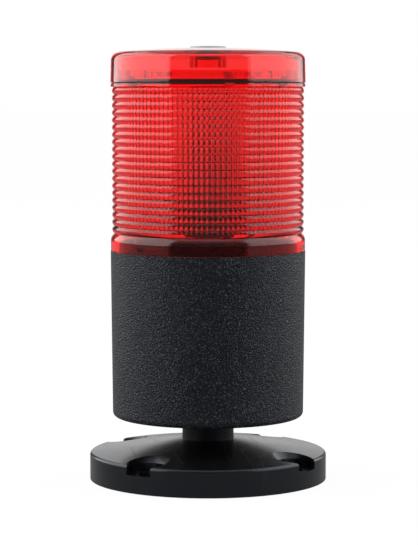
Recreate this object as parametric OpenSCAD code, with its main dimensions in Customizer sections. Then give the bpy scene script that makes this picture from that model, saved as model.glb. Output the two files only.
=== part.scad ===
// Signal tower light with one red tier on a round foot.
// Origin at the middle of the foot's underside, +Z up, millimetres.

/* [Foot] */
// Height of the foot
foot_h = 9.8; // [9:0.1:14]
// Rise of the foot's upper face from its edge to the stem
foot_rise = 4.6; // [1:0.1:6]
// Rounding of the foot's upper edge
foot_edge_r = 1.2; // [0.4:0.1:2]
// Wall round the cored underside
foot_wall = 2.6; // [1.6:0.1:4]
// Thickness of the foot's top plate
foot_top_t = 3; // [2.4:0.1:4]
// Number of stiffening ribs under the foot
foot_rib_count = 12; // [4:4:24]
// Thickness of a stiffening rib
foot_rib_t = 1.6; // [1:0.1:2.4]
// Circle that the four fixing screws stand on
screw_circle_d = 75; // [66:0.5:90]
// Distance from the screw circle to the foot's edge
screw_margin = 5.2; // [4.6:0.1:10]
// Fixing screw hole
screw_hole_d = 5.4; // [4:0.1:7]
// Round pocket for a screw head
screw_pocket_d = 12.6; // [10:0.2:14]
// Width of the slot that opens the pocket through the rim
screw_slot_w = 10.2; // [7:0.2:11]
// Depth of the pocket and its slot
screw_pocket_depth = 3.5; // [2:0.1:5]
// Chamfer along the pocket's upper edge
screw_pocket_chamfer = 0.5; // [0.2:0.1:0.8]

/* [Stem] */
// Diameter of the stem between foot and housing
stem_d = 18.6; // [17:0.2:22]
// Clear height between foot and housing
stem_gap = 8.2; // [6:0.2:60]
// Diameter of the threaded spigots at both ends
spigot_d = 14; // [12.5:0.1:15]
// Bore for the wires
cable_bore_d = 10; // [7:0.2:10.4]
// Locknut across flats
nut_af = 19; // [17.6:0.2:20]
// Locknut height
nut_h = 3.6; // [2.6:0.1:4]
// Washer diameter
washer_d = 21; // [19:0.2:23]
// Washer thickness
washer_t = 1; // [0.6:0.1:1.2]
// Rubber stem seal thickness
stem_seal_t = 1.5; // [1:0.1:2.5]

/* [Housing] */
// Diameter of the housing at its top
housing_d = 70; // [62:0.2:90]
// Height of the housing
housing_h = 59.8; // [52:0.2:90]
// How much narrower the housing's radius is at its bottom
housing_draft = 0.6; // [0:0.05:1.2]
// Wall thickness
housing_wall = 2.4; // [1.8:0.1:2.6]
// Floor thickness
housing_floor_t = 3; // [2:0.1:5]
// Rounding of the bottom edge
housing_edge_r = 1.8; // [0.6:0.1:2]
// Step from the housing's side in to the bayonet neck
neck_step = 3.1; // [3:0.05:3.3]
// Wall of the bayonet neck
neck_wall = 3.4; // [3:0.1:4]
// Gap between the neck and the lens seal
lens_seal_gap = 0.6; // [0.4:0.05:0.7]
// Width of the lens seal
lens_seal_w = 1.3; // [0.8:0.1:1.5]
// Lens seal thickness
lens_seal_t = 0.8; // [0.5:0.1:1.2]

/* [Bayonet] */
// Angle that the lens and the cap turn to unlock
twist = 22; // [16:1:28]
// Number of lens lugs
lug_count = 3; // [2:1:3]
// Width of a lens lug in degrees
lug_w = 16; // [10:1:20]
// Height of a lens lug
lug_h = 1.4; // [1:0.1:1.6]
// Reach of a lens lug towards the axis
lug_reach = 1.9; // [1.2:0.1:2]
// Direction of the first lens lug
lug_angle = 220; // [0:5:360]

/* [Lens] */
// How far the lens collar stands back from the housing's side
collar_inset = 0.1; // [0:0.05:0.4]
// Play between the neck and the collar's bore
collar_play = 0.4; // [0.3:0.05:0.6]
// Straight height of the collar
collar_h = 3.6; // [3:0.1:5]
// Rounding above the collar
collar_round_r = 3.8; // [3.2:0.1:4.4]
// Height from the collar's lower edge to the first rib
rib_start = 6.4; // [6.2:0.1:9]
// Number of ribs round the lens
rib_count = 20; // [16:1:30]
// Distance from rib to rib
rib_pitch = 2.61; // [2.2:0.01:3]
// How far a rib stands out
rib_rise = 0.65; // [0.4:0.05:0.9]
// How far the rib crests stand back from the collar
rib_inset = 0.5; // [0.2:0.05:0.7]
// Thickness of the flange that carries the cap
flange_t = 1.1; // [0.8:0.1:1.6]
// Width of the ring that the lamp holder seats against
seat_ring_w = 1.8; // [1.2:0.1:2.4]
// Thickness of that ring
seat_ring_t = 1.2; // [0.8:0.1:1.6]
// Number of reeds inside the lens
reed_count = 120; // [100:1:130]
// Radius of a reed
reed_r = 1.5; // [1.3:0.05:2]
// Distance from the rib crests in to the reed centres
reed_depth = 0.9; // [0.8:0.05:1.2]
// Step from the rib crests in to the lens's upper neck
lens_neck_step = 2.5; // [2.4:0.05:2.8]
// Height of the upper neck
lens_neck_h = 4.5; // [4.4:0.1:6]
// Wall of the upper neck below its ledge
lens_neck_wall = 2.5; // [2.2:0.1:3.4]
// Wall of the upper neck above its ledge
bridge_seat_wall = 1.6; // [1.2:0.1:1.8]
// Height of the ledge above the cap's seat
bridge_ledge_h = 2.2; // [1.6:0.1:2.4]

/* [Cap] */
// How far the cap's lower edge stands back from the housing's side
cap_inset = 0; // [0:0.05:0.3]
// Taper of the cap's side on the radius
cap_taper = 0.2; // [0:0.05:0.5]
// Height of the cap
cap_h = 12.4; // [12:0.1:18]
// Cap wall thickness
cap_wall = 1.8; // [1.2:0.1:2]
// Rounding of the cap's upper edge
cap_round_r = 3; // [2.4:0.1:4]
// Radius of the domed top
cap_dome_r = 330; // [200:10:900]
// Number of bayonet lugs on the cap
cap_lug_count = 4; // [3:1:4]
// Height of a cap lug
cap_lug_h = 1.2; // [1:0.1:1.3]
// Width of a cap lug in degrees
cap_lug_w = 8; // [6:1:12]
// Height of the gasket inside the cap
cap_gasket_h = 1.2; // [0.8:0.1:1.3]
// Thickness of the gasket under the cap's rim
gasket_rim_t = 0.35; // [0.2:0.05:0.6]
// Diameter of the plug's head
plug_d = 13.2; // [10:0.2:16]
// How far the plug's head stands above the cap
plug_rise = 0.45; // [0.3:0.05:1.2]
// Depth of the plug's seat in the cap
plug_seat = 0.6; // [0.3:0.1:0.8]
// Diameter of the plug's shank
plug_shank_d = 9.4; // [6:0.2:9.6]
// Length of the plug's shank
plug_shank_l = 4.2; // [2:0.1:5]
// Length of the boss under the cap that holds the shank
plug_boss_l = 5.8; // [4:0.1:6]

/* [Lamp holder] */
// Thickness of the holder's plate
holder_t = 2.2; // [1.8:0.1:2.4]
// Diameter of the socket tower
tower_d = 17; // [15:0.2:22]
// Height of the socket tower above the plate
tower_h = 9.6; // [7:0.1:9.6]
// Number of snap nibs that hold the plate in the lens
nib_count = 16; // [6:1:20]
// Socket shell wall
shell_wall = 0.5; // [0.4:0.1:0.6]
// Height of the shell above the lamp's pins
shell_rise = 2.4; // [1.4:0.1:4]
// Circle that the two conductor strips stand on
strip_circle_d = 34; // [32:0.5:38]
// Width of a conductor strip
strip_w = 3.6; // [2:0.1:4]
// Thickness of a conductor strip
strip_t = 0.8; // [0.5:0.1:1.2]
// Direction of the common strip
common_angle = 52; // [45:1:65]
// Direction of the feed strip
feed_angle = 13; // [5:1:25]
// Thickness of the socket's insulator
insulator_t = 4.6; // [4.4:0.1:5.6]
// Diameter of a contact plunger
plunger_d = 1.8; // [1.6:0.1:2]
// Distance between the two plungers
plunger_spacing = 3.8; // [3.4:0.1:4.4]
// Length of a plunger's spring
spring_l = 3.4; // [3:0.1:3.6]
// Wire of a plunger's spring
spring_wire_d = 0.2; // [0.15:0.05:0.25]

/* [Lamp] */
// Diameter of the lamp's bayonet cap
lamp_cap_d = 9.2; // [9:0.1:9.4]
// Length of the bayonet cap
lamp_cap_l = 17.2; // [15.2:0.1:20]
// Diameter of a bayonet pin
lamp_pin_d = 1.6; // [1.4:0.1:1.8]
// How far a pin stands out of the cap
lamp_pin_reach = 0.9; // [0.7:0.1:1.1]
// Height of the pins above the cap's lower end
lamp_pin_h = 6.4; // [6:0.1:7]
// Travel of the lamp against its contacts
lamp_press = 1.5; // [0.8:0.1:1.6]
// Height of the six-sided post above the bayonet cap
post_h = 14.4; // [13:0.2:26]
// Post across flats
post_af = 5; // [4.6:0.2:7]
// Rows of chips on each side of the post
chip_rows = 3; // [1:1:3]
// Width of a chip
chip_w = 2.2; // [1.6:0.1:2.6]
// Height of a chip
chip_h = 3.3; // [2.4:0.1:3.4]
// Thickness of a chip
chip_t = 0.8; // [0.5:0.1:1.2]

/* [Terminals] */
// Depth of the carrier's upper face below the housing's top
carrier_drop = 9.8; // [8:0.2:24]
// Carrier thickness
carrier_t = 3; // [2:0.1:4]
// Wire opening in the carrier
carrier_hole_d = 18; // [14:0.5:19]
// Diameter of a carrier post
carrier_post_d = 7; // [6:0.2:8]
// Distance from the carrier's edge in to its screws
carrier_screw_edge = 4.2; // [3.6:0.1:5]
// Diameter of a carrier screw
carrier_screw_d = 3; // [2.4:0.1:3.4]
// Diameter of a carrier screw's head
carrier_screw_head_d = 5.6; // [5:0.1:6.4]
// Number of wire terminals
terminal_count = 3; // [2:1:3]
// Distance from terminal to terminal
terminal_pitch = 8; // [7.4:0.1:8.4]
// Distance from the carrier's edge in to the terminal block's outer corners
block_edge = 3.6; // [3:0.1:5]
// Depth of the terminal block
block_w = 11; // [10:0.2:12]
// Height of the terminal block
block_h = 8; // [7.4:0.1:8.4]
// Terminal screw diameter
terminal_screw_d = 3; // [2.6:0.1:3.4]
// Wire entry diameter
wire_entry_d = 3; // [2.4:0.1:3]

/* [Clearances] */
// Gap between turning pieces
turn_gap = 0.3; // [0.2:0.05:0.35]
// Gap between pieces that sit on each other across a joint
seat_gap = 0.1; // [0.05:0.05:0.2]
// Gap between a piece and the bore that it is pushed into
slip_gap = 0.1; // [0.05:0.05:0.15]

/* [Hidden] */
$fn = 96;

black = [0.13, 0.13, 0.14];
rubber = [0.07, 0.07, 0.07];
steel = [0.68, 0.68, 0.70];
brass = [0.78, 0.66, 0.38];
red_clear = [0.86, 0.12, 0.12, 0.7];
ivory = [0.88, 0.84, 0.70];
grey = [0.62, 0.62, 0.62];
dark_grey = [0.22, 0.22, 0.23];

// Small overshoot of a cutting tool past the face that it cuts
over = 0.5;
quarter = 90;

// Foot and stem levels
foot_r = screw_circle_d / 2 + screw_margin;
foot_cavity_z = foot_h - foot_top_t;
foot_top_z = foot_h + foot_rise;
foot_hub_edge = 0.6;
foot_hub_r = stem_d / 2 + foot_hub_edge;
foot_rim_r = foot_r - foot_edge_r;
screw_angle = 45;
screw_wall = 2;
rib_recess = 0.6;
nut_ring_gap = 2;
nut_ring_r = washer_d / 2 + nut_ring_gap;
nut_ring_t = 2;
stem_end_recess = 1;
spigot_r = spigot_d / 2;
end_chamfer = 0.6;
housing_z0 = foot_top_z + stem_gap;
floor_z = housing_z0 + housing_floor_t;
housing_nut_z = floor_z + stem_seal_t + washer_t;
thread_spare = 1;
stem_top = housing_nut_z + nut_h + end_chamfer + thread_spare;

// Housing levels
housing_r = housing_d / 2;
housing_z1 = housing_z0 + housing_h;
housing_bore_r = housing_r - housing_draft - housing_wall;
neck_r = housing_r - neck_step;
neck_bore_r = neck_r - neck_wall;
lens_seal_r_in = neck_r + lens_seal_gap;
lens_seal_r = lens_seal_r_in + lens_seal_w;

// Lens levels
lens_z0 = housing_z1 + seat_gap;
rib_z0 = lens_z0 + rib_start;
rib_z1 = rib_z0 + rib_count * rib_pitch;
cap_seat_z = rib_z1 + flange_t;
lens_z1 = cap_seat_z + lens_neck_h;
collar_r = housing_r - collar_inset;
collar_bore_r = neck_r + collar_play;
rib_crest_r = collar_r - rib_inset;
cap_r = housing_r - cap_inset;
flange_inset = 0.1;
flange_r = cap_r - flange_inset;
mark_angles = [218, 294];
mark_w = 1.2;
mark_rise = 0.2;
mark_edge = 0.1;
lens_neck_r = rib_crest_r - lens_neck_step;
lens_neck_bore_r = lens_neck_r - lens_neck_wall;
bridge_bore_r = lens_neck_r - bridge_seat_wall;
bridge_z = cap_seat_z + bridge_ledge_h;
rib_r = (rib_pitch * rib_pitch / 4 + rib_rise * rib_rise) / (2 * rib_rise);
rib_centre_r = rib_crest_r - rib_r;
rib_root_r = rib_crest_r - rib_rise;
rib_overlap = 0.05;
reed_top_drop = 1;
reed_top_z = rib_z1 - reed_top_drop;
reed_circle_r = rib_crest_r - reed_depth;
reed_valley = 0.3;
reed_bore_r = reed_circle_r - reed_valley;

// The holder's plate seats against a ring at the first rib, on snap nibs
holder_z1 = rib_z0;
seat_bore_r = collar_bore_r - seat_ring_w;
reed_z0 = holder_z1 + seat_ring_t;
holder_z0 = holder_z1 - holder_t;
nib_h = 0.4;
nib_w = 3;
nib_reach = 0.8;
nib_angle = 5;
nib_z0 = holder_z0 - slip_gap - nib_h;
neck_z1 = nib_z0 - turn_gap;
lug_rise = 0.8;
lug_z0 = lens_z0 + lug_rise;
lug_z1 = lug_z0 + lug_h;
lug_play = 2;
lead_in = 0.1;
pad_t = 0.4;
pad_l = 6;

// Lamp socket levels
lamp_cap_r = lamp_cap_d / 2;
lamp_play = 0.15;
shell_r_in = lamp_cap_r + lamp_play;
shell_r = shell_r_in + shell_wall;
shell_z0 = holder_z1;
plunger_spare = 0.4;
plunger_rest = lamp_press + plunger_spare;
lamp_z0 = holder_z1 + insulator_t + plunger_rest;
lamp_z1 = lamp_z0 + lamp_cap_l;
pin_z = lamp_z0 + lamp_pin_h;
pin_gap = 0.15;
shell_z1 = pin_z + lamp_pin_d / 2 + shell_rise;
pin_turn = 45;
pin_angle = 10;
plunger_angle = pin_angle + quarter;
plunger_z0 = shell_z0 + spring_l;
plunger_nose = plunger_d / 4;
plunger_tail_d = 0.8;
plunger_tail_l = spring_l - lamp_press - seat_gap;
spring_turns = 4;
spring_gap = 0.05;
post_sides = 6;
post_collar_h = 1.6;
post_collar_step = 0.6;
post_crown = 0.5;
bridge_t = 1.6;
bridge_wall = 2.4;
bridge_foot_w = 12;
spoke_inset = 0.2;
bridge_angles = [common_angle, feed_angle, (common_angle + feed_angle) / 2 + 180];

// Cap levels
cap_z0 = cap_seat_z + gasket_rim_t + seat_gap;
gasket_edge = 0.5;
cap_z1 = cap_z0 + cap_h;
cap_bore_r = cap_r - cap_taper - cap_wall;
plug_wall = 1.2;
plug_edge = 0.4;
cap_lug_angle = 35;
neck_lug_drop = 0.3;
neck_lug_h = 1;
neck_lug_z1 = lens_z1 - neck_lug_drop;
neck_lug_z0 = neck_lug_z1 - neck_lug_h;
cap_lug_z1 = neck_lug_z0 - turn_gap;
cap_lug_z0 = cap_lug_z1 - cap_lug_h;

// Terminal levels
carrier_z1 = housing_z1 - carrier_drop;
carrier_z0 = carrier_z1 - carrier_t;
carrier_r = neck_bore_r - turn_gap;
carrier_screw_r = carrier_r - carrier_screw_edge;
carrier_post_count = 3;
carrier_post_angle = 90;
carrier_post_angles = even_angles(carrier_post_count, carrier_post_angle);
carrier_screw_l = 8;
carrier_head_h = 2;
screw_spare = 1;
block_end = 0.8;
block_l = terminal_count * terminal_pitch + 2 * block_end;
block_corner_r = carrier_r - block_edge;
block_y = block_w / 2 - sqrt(block_corner_r * block_corner_r - block_l * block_l / 4);
terminal_x = [for (i = [0 : terminal_count - 1]) (i - (terminal_count - 1) / 2) * terminal_pitch];
clamp_wall = 1.5;
clamp_floor_t = 1.2;
clamp_drop = 1.4;
clamp_w = 5.4;
clamp_l = block_w - 2 * clamp_wall;
clamp_h = block_h - clamp_floor_t - clamp_drop;
clamp_z0 = carrier_z1 + clamp_floor_t;
wire_edge = 0.4;
wire_z = clamp_z0 + wire_entry_d / 2 + wire_edge;
blade_t = 0.6;
blade_tail = 2;
blade_pad_l = 5;
blade_z1 = holder_z0 - pad_t - turn_gap;

// A block bent round the axis, between two radii and two levels
module arc_block(r_in, r_out, mid, width, z0, z1) {
    rotate([0, 0, mid - width / 2])
        rotate_extrude(angle = width)
            translate([r_in, z0])
                square([r_out - r_in, z1 - z0]);
}

// A flat ring lying at a level
module ring(r_out, r_in, z0, h) {
    translate([0, 0, z0])
        difference() {
            cylinder(r = r_out, h = h);
            translate([0, 0, -over])
                cylinder(r = r_in, h = h + 2 * over);
        }
}

// Places children at each angle of a list, on a circle
module at_angles(angles, radius) {
    for (a = angles)
        rotate([0, 0, a])
            translate([radius, 0, 0])
                children();
}

function even_angles(count, first) = [for (i = [0 : count - 1]) first + i * 360 / count];

screw_angles = even_angles(4, screw_angle);
lug_angles = even_angles(lug_count, lug_angle);
cap_lug_angles = even_angles(cap_lug_count, cap_lug_angle);

// Section of the foot's disc with its rounded upper edge
module foot_disc_section() {
    edge_z = foot_h - foot_edge_r;
    run = foot_rim_r - foot_hub_r;
    climb = foot_top_z - edge_z;
    slope = atan2(climb, run) - asin(foot_edge_r / norm([run, climb]));
    touch = [foot_rim_r + foot_edge_r * sin(slope), edge_z + foot_edge_r * cos(slope)];
    square([foot_r, edge_z]);
    polygon([
        [0, 0], [foot_rim_r, 0], [foot_rim_r, edge_z], touch, [foot_hub_r, foot_top_z], [0, foot_top_z]
    ]);
    translate([foot_rim_r, edge_z])
        circle(r = foot_edge_r);
}

// How far the upper face has risen at a radius
function foot_slope_z(r) = foot_rise * (foot_rim_r - r) / (foot_rim_r - foot_hub_r);

// Section of the hollow under the foot: sloped as the face above it, flat round the nut
module foot_hollow_section(reach_r, reach_z) {
    wall_r = foot_r - foot_wall;
    ring_r = nut_ring_r + nut_ring_t / 2;
    polygon([
        [0, -over], [wall_r + reach_r, -over],
        [wall_r + reach_r, foot_cavity_z + foot_slope_z(wall_r) + reach_z],
        [ring_r - reach_r, foot_cavity_z + foot_slope_z(ring_r) + reach_z],
        [ring_r - reach_r, foot_cavity_z + reach_z], [0, foot_cavity_z + reach_z]
    ]);
}

// Keyhole pocket, seen from above: round pocket, slot through the rim, chamfered upper edge
module keyhole_pocket() {
    depth = screw_pocket_depth;
    pocket_r = screw_pocket_d / 2;
    bevel = screw_pocket_chamfer;
    slot_l = foot_r - screw_circle_d / 2 + over;
    translate([0, 0, foot_h - depth])
        cylinder(r = pocket_r, h = depth + over);
    translate([0, 0, foot_h - bevel])
        cylinder(r1 = pocket_r, r2 = pocket_r + bevel + foot_rise, h = bevel + foot_rise);
    translate([slot_l, 0, 0])
        rotate([quarter, 0, -quarter])
            linear_extrude(height = slot_l)
                slot_section(depth, bevel);
    translate([0, 0, -over])
        cylinder(d = screw_hole_d, h = foot_h);
}

// Section of the slot, chamfered along the foot's upper face
module slot_section(depth, bevel) {
    w = screw_slot_w / 2;
    polygon([
        [-w, foot_h - depth], [w, foot_h - depth], [w, foot_h - bevel],
        [w + bevel + foot_rise, foot_top_z], [-w - bevel - foot_rise, foot_top_z], [-w, foot_h - bevel]
    ]);
}

// Ribs between the nut's ring and the rim, set back from the ground
module foot_ribs() {
    rib_l = foot_r - foot_wall - nut_ring_r;
    for (a = even_angles(foot_rib_count, 0))
        rotate([0, 0, a])
            translate([nut_ring_r + nut_ring_t / 4, -foot_rib_t / 2, rib_recess])
                cube([rib_l, foot_rib_t, foot_top_z - rib_recess]);
}

module mounting_foot() {
    color(black)
        difference() {
            union() {
                difference() {
                    rotate_extrude()
                        foot_disc_section();
                    rotate_extrude()
                        foot_hollow_section(0, 0);
                }
                intersection() {
                    rotate_extrude()
                        foot_hollow_section(foot_wall / 2, over);
                    union() {
                        foot_ribs();
                        at_angles(screw_angles, screw_circle_d / 2)
                            cylinder(d = screw_pocket_d + 2 * screw_wall, h = foot_h);
                    }
                }
                ring(nut_ring_r + nut_ring_t, nut_ring_r, rib_recess, foot_cavity_z - rib_recess + over);
            }
            at_angles(screw_angles, screw_circle_d / 2)
                keyhole_pocket();
            translate([0, 0, -over])
                cylinder(r = spigot_r + slip_gap, h = foot_top_z + 2 * over);
        }
}

// Half section of the stem: body between two shoulders, spigots with chamfered ends
module stem_section() {
    bore_r = cable_bore_d / 2;
    polygon([
        [bore_r, stem_end_recess], [spigot_r - end_chamfer, stem_end_recess],
        [spigot_r, stem_end_recess + end_chamfer], [spigot_r, foot_top_z], [stem_d / 2, foot_top_z],
        [stem_d / 2, housing_z0], [spigot_r, housing_z0], [spigot_r, stem_top - end_chamfer],
        [spigot_r - end_chamfer, stem_top], [bore_r, stem_top]
    ]);
}

module stem_tube() {
    color(black)
        rotate_extrude()
            stem_section();
}

module stem_washer(z0) {
    color(steel)
        ring(washer_d / 2, spigot_r + slip_gap, z0, washer_t);
}

// Hexagon nut with its corners turned down on both faces
module stem_locknut(z0) {
    corner_r = nut_af / sqrt(3);
    crown = (corner_r - nut_af / 2) / 2;
    color(steel)
        translate([0, 0, z0])
            difference() {
                intersection() {
                    cylinder(r = corner_r, h = nut_h, $fn = 6);
                    rotate_extrude()
                        polygon([
                            [0, 0], [nut_af / 2, 0], [corner_r + over, crown + over / 2],
                            [corner_r + over, nut_h - crown - over / 2], [nut_af / 2, nut_h], [0, nut_h]
                        ]);
                }
                translate([0, 0, -over])
                    cylinder(r = spigot_r + slip_gap, h = nut_h + 2 * over);
            }
}

module foot_washer() {
    stem_washer(foot_cavity_z - washer_t);
}

module foot_locknut() {
    stem_locknut(foot_cavity_z - washer_t - nut_h);
}

module stem_seal() {
    color(rubber)
        ring(washer_d / 2, spigot_r + slip_gap, floor_z, stem_seal_t);
}

module housing_washer() {
    stem_washer(floor_z + stem_seal_t);
}

module housing_locknut() {
    stem_locknut(housing_nut_z);
}

// Outer section of the housing: drafted side, rounded bottom edge, flat shoulder
module housing_section() {
    edge = housing_edge_r;
    edge_r = housing_r - housing_draft;
    edge_z = housing_z0 + edge;
    polygon([
        [0, housing_z0], [edge_r - edge, housing_z0], [edge_r - edge, edge_z], [edge_r, edge_z],
        [housing_r, housing_z1], [0, housing_z1]
    ]);
    translate([edge_r - edge, edge_z])
        circle(r = edge);
    translate([0, housing_z1 - over])
        square([neck_r, neck_z1 - housing_z1 + over]);
}

// Path of one lens lug in the neck: entry from above, then a run to the locked end
module lug_path(angle) {
    depth_r = neck_r - lug_reach - turn_gap;
    open_r = neck_r + over;
    path_w = lug_w + lug_play;
    run_w = twist + path_w / 2;
    run_z0 = lug_z0 - turn_gap;
    arc_block(depth_r, open_r, angle - path_w / 2 + run_w / 2, run_w, run_z0, lug_z1 + turn_gap);
    arc_block(depth_r - lead_in, open_r, angle + twist, path_w, run_z0 - lead_in, neck_z1 + over);
}

// Screw post for the carrier, tied to the housing's wall
module carrier_post() {
    web_l = housing_bore_r - carrier_screw_r + housing_wall / 2;
    height = carrier_z0 - floor_z + over;
    translate([0, 0, floor_z - over]) {
        cylinder(d = carrier_post_d, h = height);
        translate([0, -foot_rib_t / 2, 0])
            cube([web_l, foot_rib_t, height]);
    }
}

module base_housing() {
    color(black)
        difference() {
            union() {
                difference() {
                    rotate_extrude()
                        housing_section();
                    translate([0, 0, floor_z])
                        cylinder(r = housing_bore_r, h = housing_z1 - housing_wall - floor_z);
                    translate([0, 0, floor_z])
                        cylinder(r = neck_bore_r, h = neck_z1);
                }
                at_angles(carrier_post_angles, carrier_screw_r)
                    carrier_post();
            }
            translate([0, 0, housing_z0 - over])
                cylinder(r = spigot_r + slip_gap, h = housing_floor_t + 2 * over);
            at_angles(carrier_post_angles, carrier_screw_r)
                translate([0, 0, carrier_z0 - carrier_screw_l - screw_spare])
                    cylinder(d = carrier_screw_d + 2 * slip_gap, h = carrier_screw_l + screw_spare + over);
            for (a = lug_angles)
                lug_path(a);
            ring(
                lens_seal_r + slip_gap, lens_seal_r_in - slip_gap, housing_z1 - lens_seal_t,
                lens_seal_t + over
            );
        }
}

module lens_seal() {
    color(rubber)
        ring(lens_seal_r, lens_seal_r_in, housing_z1 - lens_seal_t, lens_seal_t);
}

module terminal_carrier() {
    color(dark_grey)
        difference() {
            translate([0, 0, carrier_z0])
                cylinder(r = carrier_r, h = carrier_t);
            translate([0, 0, carrier_z0 - over])
                cylinder(d = carrier_hole_d, h = carrier_t + 2 * over);
            at_angles(carrier_post_angles, carrier_screw_r)
                translate([0, 0, carrier_z0 - over])
                    cylinder(d = carrier_screw_d + 2 * slip_gap, h = carrier_t + 2 * over);
            for (a = [common_angle, feed_angle])
                rotate([0, 0, a])
                    blade_seat(slip_gap);
        }
}

// Pan-head screws with a cross recess
module carrier_screws() {
    cross_w = 0.9;
    cross_l = 3.4;
    color(steel)
        at_angles(carrier_post_angles, carrier_screw_r)
            difference() {
                union() {
                    translate([0, 0, carrier_z0 - carrier_screw_l])
                        cylinder(d = carrier_screw_d, h = carrier_screw_l + carrier_t + over);
                    translate([0, 0, carrier_z1])
                        cylinder(d = carrier_screw_head_d, h = carrier_head_h);
                }
                for (turn = [0, quarter])
                    translate([0, 0, carrier_z1 + carrier_head_h])
                        rotate([0, 0, turn])
                            cube([cross_l, cross_w, carrier_head_h], center = true);
            }
}

module terminal_block() {
    color(dark_grey)
        difference() {
            translate([-block_l / 2, block_y - block_w / 2, carrier_z1])
                cube([block_l, block_w, block_h]);
            for (x = terminal_x) {
                translate([x - clamp_w / 2 - slip_gap, block_y - clamp_l / 2 - slip_gap, clamp_z0])
                    cube([clamp_w + 2 * slip_gap, clamp_l + 2 * slip_gap, block_h]);
                translate([x, block_y - block_w, wire_z])
                    rotate([-quarter, 0, 0])
                        cylinder(d = wire_entry_d, h = 2 * block_w);
            }
        }
}

// Cage clamps with a wire hole and a tapped top
module terminal_clamps() {
    color(brass)
        for (x = terminal_x)
            difference() {
                translate([x - clamp_w / 2, block_y - clamp_l / 2, clamp_z0])
                    cube([clamp_w, clamp_l, clamp_h]);
                translate([x, block_y - block_w, wire_z])
                    rotate([-quarter, 0, 0])
                        cylinder(d = wire_entry_d, h = 2 * block_w);
                translate([x, block_y, clamp_z0 + wire_entry_d])
                    cylinder(d = terminal_screw_d + 2 * slip_gap, h = clamp_h);
            }
}

module terminal_screws() {
    head_rim = 0.8;
    head_d = terminal_screw_d + 2 * head_rim;
    head_h = 1.2;
    slot_w = 0.7;
    tip_gap = 0.6;
    tip_z = clamp_z0 + wire_entry_d + tip_gap;
    seat_z = clamp_z0 + clamp_h;
    color(steel)
        for (x = terminal_x)
            translate([x, block_y, 0])
                difference() {
                    union() {
                        translate([0, 0, tip_z])
                            cylinder(d = terminal_screw_d, h = seat_z - tip_z + tip_gap);
                        translate([0, 0, seat_z])
                            cylinder(d = head_d, h = head_h);
                    }
                    translate([0, 0, seat_z + head_h])
                        cube([head_d + over, slot_w, head_h], center = true);
                }
}

// Slot in the carrier that a contact blade is pushed into
module blade_seat(gap) {
    translate([strip_circle_d / 2 - gap, -strip_w / 2 - gap, carrier_z0 - over])
        cube([blade_t + 2 * gap, strip_w + 2 * gap, carrier_t + 2 * over]);
}

// Spring contacts: an upright blade with a flat top that feeds a pad on the lens unit
module contact_blades() {
    color(brass)
        for (a = [common_angle, feed_angle])
            rotate([0, 0, a])
                translate([strip_circle_d / 2, -strip_w / 2, 0]) {
                    translate([0, 0, carrier_z0 - blade_tail])
                        cube([blade_t, strip_w, blade_z1 - carrier_z0 + blade_tail]);
                    translate([0, 0, blade_z1 - blade_t])
                        cube([blade_pad_l, strip_w, blade_t]);
                }
}

// Outer section of the lens: collar, rounded shoulder, ribs, flange and upper neck
module lens_section() {
    shoulder_z = lens_z0 + collar_h;
    translate([0, lens_z0])
        square([collar_r, collar_h]);
    intersection() {
        union() {
            translate([collar_r - collar_round_r, shoulder_z])
                circle(r = collar_round_r);
            for (i = [0 : rib_count - 1])
                translate([rib_centre_r, rib_z0 + (i + 0.5) * rib_pitch])
                    circle(r = rib_r);
        }
        translate([0, shoulder_z - over])
            square([collar_r + over, cap_seat_z - shoulder_z + over]);
    }
    translate([0, lens_z0])
        square([rib_root_r - rib_overlap, cap_seat_z - lens_z0]);
    translate([0, rib_z1])
        square([flange_r, flange_t]);
    translate([0, lens_z0])
        square([lens_neck_r, lens_z1 - lens_z0]);
}

// Hollow of the lens, with a row of half-round reeds standing into it
module reeded_section() {
    difference() {
        circle(r = reed_bore_r);
        for (a = even_angles(reed_count, 0))
            rotate([0, 0, a])
                translate([reed_circle_r, 0])
                    circle(r = reed_r, $fn = 32);
    }
}

// Raised arrow on the flange's rim that shows where the cap locks
module lock_mark() {
    top = flange_t - mark_edge;
    translate([flange_r - over, 0, rib_z1])
        rotate([quarter, 0, quarter])
            linear_extrude(height = over + mark_rise)
                polygon([[-mark_w, top], [0, mark_edge], [mark_w, top]]);
}

module lens() {
    color(red_clear) {
        difference() {
            rotate_extrude()
                lens_section();
            translate([0, 0, lens_z0 - over])
                cylinder(r = collar_bore_r, h = holder_z1 - lens_z0 + over);
            translate([0, 0, holder_z1 - over])
                cylinder(r = seat_bore_r, h = seat_ring_t + 2 * over);
            translate([0, 0, reed_z0])
                linear_extrude(height = reed_top_z - reed_z0)
                    reeded_section();
            translate([0, 0, reed_top_z - over])
                cylinder(r = lens_neck_bore_r, h = lens_z1 - reed_top_z + 2 * over);
            translate([0, 0, bridge_z])
                cylinder(r = bridge_bore_r, h = lens_z1 - bridge_z + over);
        }
        for (a = lug_angles)
            arc_block(neck_r - lug_reach, collar_bore_r + over, a, lug_w, lug_z0, lug_z1);
        for (a = even_angles(nib_count, nib_angle))
            arc_block(collar_bore_r - nib_reach, collar_bore_r + over, a, nib_w, nib_z0, nib_z0 + nib_h);
        for (a = cap_lug_angles)
            arc_block(lens_neck_r - over, cap_bore_r - turn_gap, a, cap_lug_w, neck_lug_z0, neck_lug_z1);
        at_angles(mark_angles, 0)
            lock_mark();
    }
}

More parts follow.
